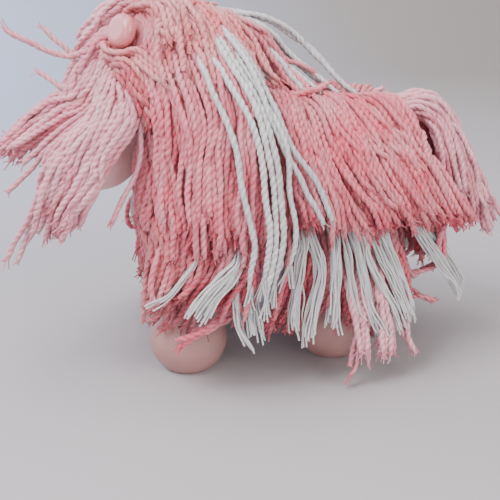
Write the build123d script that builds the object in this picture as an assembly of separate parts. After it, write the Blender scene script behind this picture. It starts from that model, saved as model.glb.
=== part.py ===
from build123d import *
import math
import os

# Small standing toy pony: a hollow moulded vinyl figure (torso, turning head,
# four plug-in legs, plug-in tail) dressed all over with locks of two-ply yarn.
# Millimetres, +Z up, the pony faces -X, its left side is towards -Y.
# The floor is z = 0 and the origin is the bottom centre of the whole part.

# ---------------------------------------------------------------- dimensions
X_SHIFT = -0.5            # moves the working frame so that the box is centred

WALL = 2.5                # vinyl wall
BODY_R = 22.0             # barrel radius
BODY_Z = 53.0             # barrel axis height
BODY_X0 = -16.0           # front sphere centre
BODY_X1 = 26.0            # rear sphere centre

NECK_X = -22.0            # neck axis (vertical)
NECK_R = 13.0             # neck radius
NECK_Z = 75.3             # top face of the neck seat
NECK_GAP = 0.3            # gap under the head
NECK_PIN_R = 6.0          # neck stem radius
PIN_CLEAR = 0.05          # radial running clearance of every stem

SKULL = (-28.0, 96.5)     # skull sphere centre (x, z)
SKULL_R = 17.5
MUZZLE = (-49.0, 73.0)    # muzzle sphere centre (x, z)
MUZZLE_R = 15.0
NOSE = (-39.5, 84.5)      # nose bridge between skull and muzzle (x, z)
NOSE_R = 14.5
HEAD_WALL = 2.2

EAR_R = 4.3
EAR_Y = 9.5
EYE_R = 4.8               # eye bead radius
EYE_DIR = (-0.60, 0.76, -0.20)

LEG_X = (-23.5, 26.0)     # front and hind hip positions
HIP_Z = 46.0
HIP_R = 11.0              # hip disc radius
HIP_POCKET_R = 14.5
HIP_FACE = 15.0           # |y| of the pocket floor
HIP_OUT = 24.5            # |y| of the leg's outer face
HIP_PIN_R = 4.0
LEG_Y = 14.0
LEG_R = 8.5
FOOT_R = 12.5
FOOT_Z = 10.0
LEG_WALL = 2.2

TAIL_TILT = 50.0          # tail plug direction above +X
TAIL_PIN_R = 3.0

GAP = 0.35                # air between a lock's backing and what it lies over
HAIR_IN = 27.3            # |y| where the skirt of yarn starts
HAIR_OUT = 34.0           # |y| where it ends
SPLIT_Z = 77.0            # hair above turns with the head, hair below stays
MANE_R = 27.0             # outer radius of the mane about the neck axis

os.makedirs("parts", exist_ok=True)
made = {}


def put(name, shape):
    shape = Pos(X_SHIFT, 0, 0) * shape
    made[name] = shape
    export_step(shape, os.path.join("parts", name + ".step"))


def ball(x, y, z, r):
    return Pos(x, y, z) * Sphere(r)


def box(x0, x1, y0, y1, z0, z1):
    return Pos((x0 + x1) / 2, (y0 + y1) / 2, (z0 + z1) / 2) * Box(
        x1 - x0, y1 - y0, z1 - z0
    )


def rod_x(x0, x1, y, z, r):
    return Pos((x0 + x1) / 2, y, z) * Rot(0, 90, 0) * Cylinder(r, x1 - x0)


def rod_y(x, y0, y1, z, r):
    lo, hi = min(y0, y1), max(y0, y1)
    return Pos(x, (lo + hi) / 2, z) * Rot(90, 0, 0) * Cylinder(r, hi - lo)


def rod_z(x, y, z0, z1, r):
    return Pos(x, y, (z0 + z1) / 2) * Cylinder(r, z1 - z0)


def slab(points, y0, y1):
    """A flat lock: the outline in X and Z, pushed along Y from y0 to y1."""
    lo, hi = min(y0, y1), max(y0, y1)
    outline = Plane.XZ * make_face(Polyline(*points, close=True))
    return Pos(0, hi, 0) * extrude(outline, hi - lo)


def tube_sector(x0, x1, r0, r1, a0, a1):
    """Part of a tube about the barrel axis; angles run from +Z towards -Y."""
    big = 60.0
    tube = rod_x(x0, x1, 0, BODY_Z, r1) - rod_x(x0 - 1, x1 + 1, 0, BODY_Z, r0)
    pts = [(0.0, BODY_Z)]
    steps = 4
    for i in range(steps + 1):
        a = math.radians(a0 + (a1 - a0) * i / steps)
        pts.append((-big * math.sin(a), BODY_Z + big * math.cos(a)))
    wedge = Plane.YZ * make_face(Polyline(*pts, close=True))
    wedge = Pos(x0, 0, 0) * extrude(wedge, x1 - x0)
    return tube & wedge


def mirror_y(shape):
    return mirror(shape, Plane.XZ)


# --------------------------------------------------------------------- torso
outer = (
    rod_x(BODY_X0, BODY_X1, 0, BODY_Z, BODY_R)
    + ball(BODY_X0, 0, BODY_Z, BODY_R)
    + ball(BODY_X1, 0, BODY_Z, BODY_R)
    + rod_z(NECK_X, 0, 58, NECK_Z, NECK_R)
)
for lx in LEG_X:
    outer += rod_y(lx, -HIP_FACE, HIP_FACE, HIP_Z, HIP_POCKET_R)

r_in = BODY_R - WALL
cavity = (
    rod_x(BODY_X0, BODY_X1, 0, BODY_Z, r_in)
    + ball(BODY_X0, 0, BODY_Z, r_in)
    + ball(BODY_X1, 0, BODY_Z, r_in)
)
for lx in LEG_X:
    for s in (-1, 1):
        cavity -= rod_y(lx, s * (HIP_FACE - WALL), s * 40, HIP_Z, HIP_POCKET_R + WALL)
    cavity += rod_y(lx, -(HIP_FACE - WALL), HIP_FACE - WALL, HIP_Z, 8.0)
cavity += rod_z(NECK_X, 0, 58, NECK_Z - WALL, NECK_R - WALL)

torso = outer - cavity
torso -= rod_z(NECK_X, 0, NECK_Z - WALL - 1, NECK_Z + 1, NECK_PIN_R + PIN_CLEAR)
for lx in LEG_X:
    for s in (-1, 1):
        torso -= rod_y(lx, s * HIP_FACE, s * 40, HIP_Z, HIP_POCKET_R)
        torso -= rod_y(lx, s * 8, s * 20, HIP_Z, HIP_PIN_R + PIN_CLEAR)

tail_frame = Pos(BODY_X1, 0, BODY_Z) * Rot(0, 90 - TAIL_TILT, 0)


def tail_rod(d0, d1, r):
    return tail_frame * Pos(0, 0, (d0 + d1) / 2) * Cylinder(r, d1 - d0)


torso -= tail_rod(15, 30, TAIL_PIN_R + PIN_CLEAR)
put("torso_shell", torso)

# -------------------------------------------------------------------- head
head_z0 = NECK_Z + NECK_GAP
h_out = (
    ball(SKULL[0], 0, SKULL[1], SKULL_R)
    + ball(MUZZLE[0], 0, MUZZLE[1], MUZZLE_R)
    + ball(NOSE[0], 0, NOSE[1], NOSE_R)
    + rod_z(NECK_X, 0, head_z0, 92, NECK_R)
)
h_in = (
    ball(SKULL[0], 0, SKULL[1], SKULL_R - HEAD_WALL)
    + ball(MUZZLE[0], 0, MUZZLE[1], MUZZLE_R - HEAD_WALL)
    + ball(NOSE[0], 0, NOSE[1], NOSE_R - HEAD_WALL)
    + rod_z(NECK_X, 0, head_z0 + 2.5, 92, NECK_R - HEAD_WALL)
)
notch = rod_z(NECK_X, 0, 50, head_z0, NECK_R + 1.5)
notch_wall = rod_z(NECK_X, 0, 50, head_z0 + 2.5, NECK_R + 1.5 + HEAD_WALL)
head = (h_out - notch) - (
    h_in - (notch_wall - rod_z(NECK_X, 0, head_z0 + 2.5, 92, NECK_R - HEAD_WALL))
)
head -= rod_z(NECK_X, 0, head_z0 - 1, head_z0 + 3.0, NECK_PIN_R + PIN_CLEAR)

# eyes: a domed bead on a stem, held from inside by a push-on washer
ex, ey, ez = EYE_DIR
n = math.sqrt(ex * ex + ey * ey + ez * ez)
ex, ey, ez = ex / n, ey / n, ez / n


def eye_frame(s):
    return Plane(
        origin=(SKULL[0], 0, SKULL[1]), z_dir=(ex, s * ey, ez)
    ).location


def eye_rod(s, d0, d1, r):
    return eye_frame(s) * Pos(0, 0, (d0 + d1) / 2) * Cylinder(r, d1 - d0)


EYE_SEAT = SKULL_R - 0.7
for s in (-1, 1):
    head -= eye_rod(s, EYE_SEAT, 40, EYE_R * 0.86)
    head -= eye_rod(s, 9, 30, 1.5)

# ears: a round, thick lobe facing forward and out, on a stem with a peg that is
# pushed through the skull
EAR_DIR = (-0.56, 0.65, 0.52)
en = math.sqrt(sum(c * c for c in EAR_DIR))
EAR_DIR = tuple(c / en for c in EAR_DIR)


def ear_frame(s):
    return Plane(
        origin=(SKULL[0], 0, SKULL[1]),
        z_dir=(EAR_DIR[0], s * EAR_DIR[1], EAR_DIR[2]),
    ).location


def ear_rod(s, d0, d1, r):
    return ear_frame(s) * Pos(0, 0, (d0 + d1) / 2) * Cylinder(r, d1 - d0)


EAR_SEAT = SKULL_R - 0.5
EAR_DISC_R = 5.0           # radius of the flat lobe
EAR_THICK = 4.4
EAR_FACE = (-0.80, 0.50, 0.33)
for s in (-1, 1):
    head -= ear_rod(s, EAR_SEAT, 40, EAR_R + 0.2)
    head -= ear_rod(s, 9, 30, 1.8)
put("head_shell", head)

for s, side in ((-1, "left"), (1, "right")):
    dome = eye_frame(s) * Pos(0, 0, EYE_SEAT - 1.4) * Sphere(EYE_R)
    dome = dome & eye_rod(s, EYE_SEAT, 40, EYE_R * 0.84)
    put("eye_" + side, dome + eye_rod(s, 11.2, EYE_SEAT, 1.45))
    washer = eye_rod(s, 12.0, 13.6, 3.6) - eye_rod(s, 11, 15, 1.5)
    put("eye_washer_" + side, washer)
    disc = Cylinder(EAR_DISC_R, EAR_THICK)
    disc = fillet(disc.edges(), EAR_THICK * 0.47)
    tilt = Plane(origin=(0, 0, 0), z_dir=(EAR_FACE[0], s * EAR_FACE[1], EAR_FACE[2]))
    centre = ear_frame(s) * Pos(0, 0, SKULL_R + 5.0)
    disc = Pos(*centre.position) * tilt.location * disc
    lobe = (
        ear_rod(s, EAR_SEAT, SKULL_R + 0.9, EAR_R)
        + ear_rod(s, SKULL_R + 0.5, SKULL_R + 4.6, 2.6)
        + disc
    )
    put("ear_" + side, lobe + ear_rod(s, 13.6, EAR_SEAT, 1.75))

# neck stem: a spool that holds the head on the torso and lets it turn
plug = (
    rod_z(NECK_X, 0, NECK_Z - WALL - 0.3 - 2.5, head_z0 + 2.5, NECK_PIN_R)
    + rod_z(NECK_X, 0, NECK_Z - WALL - 0.3 - 2.5, NECK_Z - WALL - 0.3, 9.0)
    + rod_z(NECK_X, 0, head_z0 + 2.5, head_z0 + 4.5, 8.5)
)
put("neck_plug", plug)

# -------------------------------------------------------------------- legs
for lx, end in zip(LEG_X, ("front", "hind")):
    for s, side in ((-1, "left"), (1, "right")):
        tag = end + "_" + side
        foot = ball(lx, s * LEG_Y, FOOT_Z, FOOT_R)
        foot -= box(lx - 30, lx + 30, -60, 60, -30, 0)
        y0, y1 = sorted((s * (HIP_FACE + 0.3), s * HIP_OUT))
        leg = (
            foot
            + rod_z(lx, s * LEG_Y, FOOT_Z, 26, LEG_R)
            + box(lx - LEG_R, lx + LEG_R, y0, y1, 18, HIP_Z)
            + rod_y(lx, y0, y1, HIP_Z, HIP_R)
        )
        inner = ball(lx, s * LEG_Y, FOOT_Z, FOOT_R - LEG_WALL)
        inner -= box(lx - 30, lx + 30, -60, 60, -30, LEG_WALL)
        inner += rod_z(lx, s * LEG_Y, FOOT_Z, 26 - LEG_WALL, LEG_R - LEG_WALL)
        leg -= inner
        leg -= rod_y(lx, s * HIP_FACE, s * 21.0, HIP_Z, HIP_PIN_R)
        put("leg_" + tag, leg)
        put("hip_pin_" + tag, rod_y(lx, s * 8.6, s * 21.0, HIP_Z, HIP_PIN_R))
        ring = rod_y(lx, s * 9.4, s * 12.1, HIP_Z, 7.0)
        ring -= rod_y(lx, s * 9.0, s * 12.5, HIP_Z, HIP_PIN_R + 0.02)
        put("hip_washer_" + tag, ring)
        # short yarn wisps glued on the outside of the leg above the foot
        w0, w1 = sorted((s * HIP_OUT, s * (HAIR_IN - 0.5)))
        put("leg_wisps_" + tag, box(lx - 6, lx + 6, w0, w1, 22, 36))

# -------------------------------------------------------------------- tail
put(
    "tail_plug",
    tail_rod(15.0, 22.4, TAIL_PIN_R) + tail_rod(22.4, 25.5, 5.0),
)
put("tail_washer", tail_rod(15.6, 18.2, 5.5) - tail_rod(15, 19, TAIL_PIN_R + 0.02))
ct, st = math.cos(math.radians(TAIL_TILT)), math.sin(math.radians(TAIL_TILT))
tcx, tcz = BODY_X1 + 25.5 * ct, BODY_Z + 25.5 * st
put(
    "tail_hair",
    slab(
        [
            (tcx - 5 * st, tcz + 5 * ct),
            (tcx + 5 * st, tcz - 5 * ct),
            (60, 76),
            (71, 60),
            (77, 39),
            (86, 43),
            (85, 60),
            (73, 82),
            (56, 89),
            (44, 85),
        ],
        -8,
        8,
    ),
)

# ------------------------------------------------------- woven backing tapes
put("spine_tape", tube_sector(10, 35, BODY_R + 0.02, BODY_R + 0.6, -22, 22))
put("skirt_tape_left", tube_sector(-6, 24, BODY_R + 0.02, BODY_R + 0.6, 62, 80))
put("skirt_tape_right", tube_sector(-6, 24, BODY_R + 0.02, BODY_R + 0.6, -80, -62))
crest = ball(SKULL[0], 0, SKULL[1], SKULL_R + 0.6) - ball(
    SKULL[0], 0, SKULL[1], SKULL_R + 0.02
)
crest = crest & box(SKULL[0] - 11, SKULL[0] + 25, -3.0, 3.0, SKULL[1] + 6, 130)
put("crest_tape", crest)

# --------------------------------------------------- yarn locks on the head
put(
    "forelock_centre",
    slab(
        [
            (-41.5, 110),
            (-36, 116.5),
            (-58, 112),
            (-80, 86),
            (-85, 60),
            (-84, 38),
            (-78, 33),
            (-67, 62),
            (-66, 84),
            (-53, 99),
        ],
        -3.8,
        3.8,
    ),
)
lock = slab(
    [
        (-36, 103.5),
        (-54, 103.5),
        (-76, 84),
        (-83, 60),
        (-80, 33),
        (-66, 30),
        (-57, 58),
        (-57, 78),
        (-47, 86),
        (-36, 96),
    ],
    -19.2,
    -26.0,
)
put("forelock_left", lock)
put("forelock_right", mirror_y(lock))
lock = slab(
    [(-35.6, 103.5), (-35.6, 95.8), (-46.6, 85.6), (-46.6, SPLIT_Z + 0.2),
     (-31, SPLIT_Z + 0.2), (-31, 103.5)],
    -19.2,
    -26.0,
)
put("cheek_lock_left", lock)
put("cheek_lock_right", mirror_y(lock))

mane = rod_z(NECK_X, 0, SPLIT_Z + 0.2, 124, MANE_R)
mane = mane & ball(-24, 0, 90.5, 33.5)
mane -= box(-80, -30.6, -60, 60, 50, 160)
mane -= ball(SKULL[0], 0, SKULL[1], SKULL_R + 0.7)
mane -= rod_z(NECK_X, 0, 50, 100, NECK_R + 0.4)
mane -= box(-80, 40, -0.2, 60, 50, 160)
mane -= ear_rod(-1, 10, 40, 6.2)
put("mane_left", mane)
put("mane_right", mirror_y(mane))

# -------------------------------------------------- yarn locks on the torso
put("chest_lock", box(-46.5, -38.4, -13, 13, 28.5, 56))


def pair(name, shape):
    put(name + "_left", shape)
    put(name + "_right", mirror_y(shape))


pair(
    "shoulder_lock",
    slab(
        [(-29.5, 76.6), (-30.5, 66), (-37, 55), (-37, 48), (-30, 28), (3, 21),
         (3, 76.6)],
        -HAIR_IN,
        -HAIR_OUT,
    ),
)
pair(
    "white_mane",
    slab(
        [(-4, 76.6), (-2, 48), (4, 20), (16, 20), (24, 48), (14, 76.6)],
        -(HAIR_OUT + GAP),
        -38.0,
    ),
)
pair("back_coat", tube_sector(8, 36, BODY_R + 0.95, 31.0, 0.6, 72))
pair(
    "flank_coat",
    slab(
        [(3.4, 58), (3.4, 38), (57, 38), (57, 60), (48, 66), (36.4, 66),
         (36.4, 58)],
        -HAIR_IN,
        -HAIR_OUT,
    ),
)
pair("under_coat", box(3.4, 57, -30.0, -HAIR_IN, 9, 37.7))
pair(
    "white_fringe",
    slab([(14, 37.7), (12, 9), (58, 9), (56, 37.7)], -30.3, -HAIR_OUT),
)
pair("rump_coat", box(48.5, 57, -26.8, -0.3, 28.5, 61))
pair(
    "white_tuft",
    slab([(57.4, 42), (60, 20), (70, 18), (66, 42)], -12.0, -22.0),
)

# a quick statement of what was made
lo = [1e9] * 3
hi = [-1e9] * 3
for name, shape in made.items():
    b = shape.bounding_box()
    for i, (a, c) in enumerate(
        ((b.min.X, b.max.X), (b.min.Y, b.max.Y), (b.min.Z, b.max.Z))
    ):
        lo[i] = min(lo[i], a)
        hi[i] = max(hi[i], c)
print(len(made), "nodes, box", [round(v, 2) for v in lo], [round(v, 2) for v in hi])
print("centre x", round((lo[0] + hi[0]) / 2, 3), "y", round((lo[1] + hi[1]) / 2, 3))
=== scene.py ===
import math
import bpy
import bmesh
import numpy as np
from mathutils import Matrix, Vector


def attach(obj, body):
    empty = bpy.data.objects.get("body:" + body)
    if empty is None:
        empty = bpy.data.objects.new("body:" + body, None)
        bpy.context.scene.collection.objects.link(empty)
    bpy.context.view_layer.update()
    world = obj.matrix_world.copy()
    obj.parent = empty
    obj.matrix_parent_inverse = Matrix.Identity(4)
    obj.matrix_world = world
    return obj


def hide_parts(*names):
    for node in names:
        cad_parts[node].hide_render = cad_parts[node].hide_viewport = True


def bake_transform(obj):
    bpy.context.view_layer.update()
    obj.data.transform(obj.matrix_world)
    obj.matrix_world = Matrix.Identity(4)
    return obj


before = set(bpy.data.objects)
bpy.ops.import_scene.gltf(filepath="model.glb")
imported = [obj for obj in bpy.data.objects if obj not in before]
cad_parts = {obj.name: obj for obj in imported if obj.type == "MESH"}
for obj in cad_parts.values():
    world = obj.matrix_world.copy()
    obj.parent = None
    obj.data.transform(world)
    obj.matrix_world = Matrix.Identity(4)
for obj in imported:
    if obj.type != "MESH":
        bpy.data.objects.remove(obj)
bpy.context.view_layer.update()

# Yarn-haired toy pony. Work is done in millimetres and written in metres.
# The pony faces -X, its left side (towards the camera) is -Y, the floor is z = 0.
MM = 0.001

# ------------------------------------------------------------------ camera
AZ, EL, DIST, MM_PER_PX = -13.0, 20.0, 300.0, 0.34
TARGET = np.array([0.0, 0.0, 33.0])


def make_camera():
    a, e = math.radians(AZ), math.radians(EL)
    back = Vector((math.sin(a) * math.cos(e), -math.cos(a) * math.cos(e), math.sin(e)))
    cam = bpy.data.cameras.new("camera")
    cam.sensor_width = 36.0
    cam.lens = 36.0 * (DIST / MM_PER_PX) / 500.0
    cam.clip_start = 0.01
    ob = bpy.data.objects.new("camera", cam)
    bpy.context.scene.collection.objects.link(ob)
    ob.location = (Vector(TARGET) + back * DIST) * MM
    ob.rotation_euler = (-back).to_track_quat("-Z", "Y").to_euler()
    bpy.context.scene.camera = ob


make_camera()

# --------------------------------------------------------------- the figure
# spheres (x, y, z, r) and capsules (a, b, r) that the yarn lies over, in mm
X0 = -0.5
SPHERES = [
    (-28 + X0, 0, 96.5, 17.7),
    (-39.5 + X0, 0, 84.5, 14.7),
    (-49 + X0, 0, 73, 15.2),
    (-41.1, -14.6, 108.2, 5.2),
    (-41.1, 14.6, 108.2, 5.2),
]
CAPSULES = [
    ((-16 + X0, 0, 53), (26 + X0, 0, 53), 22.0),
    ((-22 + X0, 0, 60), (-22 + X0, 0, 96), 13.0),
]
for lx in (-23.5, 26.0):
    for sy in (-1, 1):
        SPHERES.append((lx + X0, sy * 14.0, 10.0, 12.5))
        CAPSULES.append(((lx + X0, sy * 14.0, 12), (lx + X0, sy * 17.0, 46), 8.7))


def sdf(P):
    """Distance to the figure and its outward direction at points P (n, 3)."""
    best = np.full(len(P), 1e9)
    nrm = np.zeros_like(P)
    for x, y, z, r in SPHERES:
        d = P - np.array([x, y, z])
        L = np.linalg.norm(d, axis=1) + 1e-9
        dist = L - r
        m = dist < best
        best[m] = dist[m]
        nrm[m] = d[m] / L[m, None]
    for a, b, r in CAPSULES:
        a = np.array(a, float)
        b = np.array(b, float)
        ab = b - a
        t = np.clip(((P - a) @ ab) / (ab @ ab), 0, 1)
        d = P - (a + t[:, None] * ab)
        L = np.linalg.norm(d, axis=1) + 1e-9
        dist = L - r
        m = dist < best
        best[m] = dist[m]
        nrm[m] = d[m] / L[m, None]
    return best, nrm


# ------------------------------------------------------------ curve helpers
def catmull(P, t):
    """Points on a Catmull-Rom curve through P (k, 3) at t in 0..1."""
    P = np.asarray(P, float)
    k = len(P)
    if k == 2:
        return P[0] + np.asarray(t)[:, None] * (P[1] - P[0])
    E = np.vstack([2 * P[0] - P[1], P, 2 * P[-1] - P[-2]])
    s = np.clip(np.asarray(t) * (k - 1), 0, k - 1 - 1e-9)
    i = s.astype(int)
    f = (s - i)[:, None]
    p0, p1, p2, p3 = E[i], E[i + 1], E[i + 2], E[i + 3]
    return 0.5 * (
        2 * p1 + (p2 - p0) * f + (2 * p0 - 5 * p1 + 4 * p2 - p3) * f**2
        + (3 * p1 - p0 - 3 * p2 + p3) * f**3
    )


def even(P, M):
    """Resample one curve to M points at even arc length."""
    fine = catmull(P, np.linspace(0, 1, 160))
    L = np.r_[0, np.cumsum(np.linalg.norm(np.diff(fine, axis=0), axis=1))]
    s = np.linspace(0, L[-1], M)
    return np.stack([np.interp(s, L, fine[:, k]) for k in range(3)], 1)


def smooth01(x):
    x = np.clip(x, 0, 1)
    return x * x * (3 - 2 * x)


M = 48                      # points along each strand while it is being laid
T = np.linspace(0, 1, M)
ALL = []                    # every strand: dict(P, layer, r, kind, col, piece, end)


def lock(piece, guides, n, seed, u=(0.0, None), thick=6.0, side=1.2, tip_side=2.5,
         clumps=0, clump_pull=0.7, wave=0.9, tip_drift=2.0, cut=0.12, r=1.0,
         kind="yarn", col="pink", base=0.6, mirror=False, lift=0.14, udist=None, thin=1.0):
    """Lay n strands between guide curves (listed across the lock, root first)."""
    rng = np.random.default_rng(seed)
    G = np.stack([even(g, M) for g in guides])
    u1 = (len(guides) - 1) if u[1] is None else u[1]
    us = rng.uniform(u[0], u1, n) if udist is None else np.asarray(udist, float)
    n = len(us)
    us = np.sort(us)
    if clumps:
        centres = np.linspace(u[0], u1, clumps * 2 + 1)[1::2]
        centres = centres + rng.normal(0, 0.25 * (u1 - u[0]) / clumps, clumps)
        which = np.abs(us[:, None] - centres[None]).argmin(1)
        clen = rng.uniform(1 - cut * 0.8, 1.0, clumps)
    layers = rng.uniform(0, 1, n) ** 0.9
    for k in range(n):
        def at(uu):
            if len(guides) == 1:
                return G[0].copy()
            uu = np.clip(uu, 0, len(guides) - 1 - 1e-6)
            i = int(uu)
            f = uu - i
            return G[i] * (1 - f) + G[i + 1] * f
        if clumps:
            c = centres[which[k]]
            pull = clump_pull * smooth01((T - 0.25) / 0.75)
            P = at(us[k]) * (1 - pull)[:, None] + at(c) * pull[:, None]
            Lk = clen[which[k]] * rng.uniform(1 - cut, 1.0)
        else:
            P = at(us[k])
            Lk = rng.uniform(1 - cut, 1.0)
        # cut to length
        P = np.stack([np.interp(T * Lk, T, P[:, j]) for j in range(3)], 1)
        if mirror:
            P[:, 1] *= -1
        tan = np.gradient(P, axis=0)
        tan /= np.linalg.norm(tan, axis=1)[:, None] + 1e-9
        d, nrm = sdf(P)
        bi = np.cross(nrm, tan)
        bi /= np.linalg.norm(bi, axis=1)[:, None] + 1e-9
        out = np.cross(tan, bi)
        s0 = rng.normal(0, side)
        s1 = rng.normal(0, tip_side) if not clumps else rng.normal(0, tip_side * 0.6)
        drift = rng.normal(0, tip_drift, 2)
        ph = rng.uniform(0, 2 * math.pi, 6)
        length = np.linalg.norm(np.diff(P, axis=0), axis=1).sum()
        cyc = length / rng.uniform(30, 52)
        ramp = smooth01(T / 0.3)
        w1 = wave * ramp * (np.sin(2 * math.pi * cyc * T + ph[0])
                            + 0.45 * np.sin(2 * math.pi * cyc * 2.3 * T + ph[1]))
        w2 = wave * ramp * (np.sin(2 * math.pi * cyc * 0.9 * T + ph[2])
                            + 0.45 * np.sin(2 * math.pi * cyc * 2.1 * T + ph[3]))
        lay = thick * layers[k] * (thin + (1 - thin) * smooth01(us[k] / 1.2))
        P = P + bi * (s0 * (1 - T) + s1 * T ** 1.3 + drift[0] * T ** 2.2 + w1)[:, None]
        P = P + out * (lay * smooth01(T / max(lift, 1e-3)) * 0.75 + drift[1] * T ** 2.5
                       + w2 * 0.7)[:, None]
        # depth is how far out the strand lies in its lock; it also sets the strand's painted shade in
        # build_piece
        ALL.append(dict(P=P, layer=base + lay, r=r * rng.uniform(0.94, 1.06), kind=kind,
                        col=col, piece=piece, seed=int(rng.integers(1 << 30)),
                        depth=float(layers[k]) if thick > 1.2 else 0.85, lift=lift))


def both(piece, guides, n, seed, shift=(), **kw):
    """The lock on both sides; shift moves the right side's first guides backward."""
    lock(piece + "_left", guides, n, seed, **kw)
    G = [back(g, shift[k] if k < len(shift) else 0.0) for k, g in enumerate(guides)]
    lock(piece + "_right", G, n, seed + 5000, mirror=True, **kw)


def back(g, dx):
    """The curve moved backward by dx below the cheek."""
    return [(x + dx * min(max((98 - z) / 22.0, 0.0), 1.0), y, z) for x, y, z in g]


# --------------------------------------------------------------- yarn locks
# guide curves in mm, root first; the left side, towards the camera, is -Y
F0 = [(-43, -6, 105), (-53.5, -6, 90.4), (-64.1, -4, 85), (-71.4, -2, 78.3),
      (-79.3, 0, 70.5)]
F1 = [(-42.5, -9, 102.5), (-49.6, -10, 86.4), (-63.3, -9, 77.9), (-77.7, -7, 69.6)]
F2 = [(-42, -12, 100), (-51.6, -17, 83.4), (-63.7, -18, 73.9), (-68.2, -17, 60.3),
      (-77.7, -15, 40.8)]
F3 = [(-41, -14, 98.5), (-47.8, -20, 84.4), (-56.5, -22, 73.6), (-61.2, -21, 62.3),
      (-65.8, -18, 47)]
F4 = [(-39, -16.5, 96), (-39.7, -23, 84.7), (-45.7, -25, 76.1), (-50.8, -26, 67.8),
      (-56.4, -26, 60.7), (-62.7, -24, 51)]
F5 = [(-37.5, -19, 94.5), (-37.9, -25, 78.6), (-39.8, -26, 69.8), (-44.4, -27, 60.7),
      (-47.7, -27, 53.6)]
WA = [(-43.5, -5, 106), (-52.8, -4, 99.8), (-58.9, -3, 103.9), (-64.3, -2, 107.7)]
WB = [(-44, -7, 104.5), (-55.7, -4, 99.6), (-65.6, -3, 102.1), (-73.6, -2, 108.8)]
WC = [(-44, -9, 102.5), (-53.4, -6, 92.4), (-59.2, -5, 92.5), (-66.6, -4, 94.4)]
G1 = [(-46, -11, 104.2), (-40.8, -17, 103.7), (-34.3, -23, 99.2), (-27.3, -28, 92.5),
      (-24.3, -30, 87.1)]
G2 = [(-45.8, -11, 102.5), (-41.8, -17, 100), (-39.4, -21, 92.6), (-40.2, -23, 87)]
G3 = [(-44, -13, 101), (-40.7, -19, 97.7), (-37.4, -22, 90.7), (-35.2, -25, 81.4)]
C0 = [(-38, -9, 111.5), (-35.6, -25, 87.2), (-36.9, -27, 73.1), (-39, -28, 61.6),
      (-38.9, -29, 51.2), (-37.5, -28, 32.5)]
C1 = [(-34, -6, 113.5), (-28, -28, 87.4), (-27.7, -31, 72.1), (-29, -33, 56.3),
      (-28.5, -33, 42)]
C2 = [(-28, -5, 114.5), (-20.2, -27, 92.6), (-19.3, -33, 76.5), (-20.5, -35, 59.4),
      (-20.8, -35, 42.7)]
C3 = [(-20, -5, 112), (-13.3, -26, 95), (-11.3, -34, 79.2), (-11.3, -36, 60.5),
      (-15.2, -37, 39.2)]
C4 = [(-13, -5, 105), (-7, -25, 93.2), (-4.1, -33, 78.6), (-2.7, -35, 61.2),
      (-4.6, -36, 43.6)]
K0 = [(-38, -4, 113), (-32.6, -14, 114.3), (-31.2, -22, 103.5), (-30, -27, 91.6),
      (-28.7, -30, 83.6)]
K1 = [(-30, -3, 115), (-25.4, -14, 114.2), (-22, -22, 104.6), (-20.9, -28, 94.2),
      (-17.6, -32, 82)]
K2 = [(-20, -3, 113), (-16.3, -12, 110.5), (-11.4, -21, 99.9), (-9.4, -28, 88),
      (-7.6, -33, 77.4)]
K3 = [(-14, -2, 108), (-8.6, -8, 109.9), (-1, -15, 98.8), (1.9, -21, 89.3),
      (4.6, -26, 82.6)]
M0 = [(-23, -5, 113), (-19.6, -30.5, 98.7), (-16.2, -35.5, 88.9), (-13.3, -40.5, 79.9),
      (-11.4, -42, 73.4), (-10, -43.5, 62.1), (-8, -43.5, 49.4), (-9.3, -43, 33.4)]
M1 = [(-19, -5, 112.5), (-17.9, -24.5, 102.3), (-12.6, -33.5, 93.7),
      (-9.7, -38.5, 85.5), (-6.6, -41, 78.6), (-5.2, -42.5, 68.5), (-4.5, -43.5, 52.1),
      (-5.7, -43, 34.4)]
M2 = [(-17, -5, 111.5), (-13.8, -24.5, 103.3), (-8, -34.5, 92.8), (-3.9, -40.5, 81.7),
      (-2.3, -42.5, 70.7), (-1.6, -44, 49), (-4, -43.5, 33.1)]
M3 = [(-15, -4, 110), (-10.9, -21.5, 105.6), (-5.5, -31.5, 96.7), (-1.4, -38.5, 86),
      (1.5, -41, 77), (7.1, -41.5, 68.4), (14.1, -42.5, 54.4)]
M4 = [(-16, -4, 110.5), (-10.2, -26.5, 100.6), (-5, -36.5, 89.4), (0.1, -42, 74.7),
      (-0.1, -43, 66.3), (1.3, -44, 51.9), (-2.8, -43.5, 38.1)]
A1 = [(-15, -2, 112), (1.2, -3, 105.4), (6.9, -6, 97.6), (14, -10, 90.6),
      (19.7, -14, 83.3)]
A2 = [(-15, 3, 112), (4.2, 4, 109.5), (15, 5, 103.5), (22.6, 4, 96.8), (30.4, 2, 87.8),
      (37.6, -1, 80.8)]
A3 = [(-14, 1, 111), (4.1, 1, 107), (12.3, 2, 98.6), (18.8, 0, 92.4), (29.2, -3, 84.1)]
A4 = [(-11, -2, 103), (11, -8, 88.8), (20, -9, 83.6), (29.3, -10, 81.8),
      (36.5, -13, 77), (43.3, -16, 73.1)]
X1 = [(-13, -6, 103), (2.9, -17, 88.8), (10.9, -14, 88.3), (23.4, -9, 91.4)]
X2 = [(-11, -7, 98), (3.9, -18, 86.6), (12.9, -15, 85), (24.2, -11, 84.8)]
X3 = [(28, -3, 76.5), (34.5, -6, 81.2), (39.8, -5, 83.7), (43.9, -4, 86.3)]
B0 = [(-8, -2, 77), (0.9, -20, 87.6), (2, -30, 79.1), (4.1, -34, 69.5),
      (6.2, -36, 59.3), (7.9, -37, 51.2)]
B1 = [(-2, -1, 77), (8.3, -18, 83.3), (10.6, -28, 75.3), (14.3, -33, 65.6),
      (19.6, -35, 55.9), (23.5, -35.5, 47.5)]
B2 = [(10, -1, 76.5), (18.4, -14, 82.7), (21.5, -25, 76.2), (26.8, -31, 67.4),
      (33.9, -34, 56.8), (39.1, -34, 46.5)]
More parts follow.
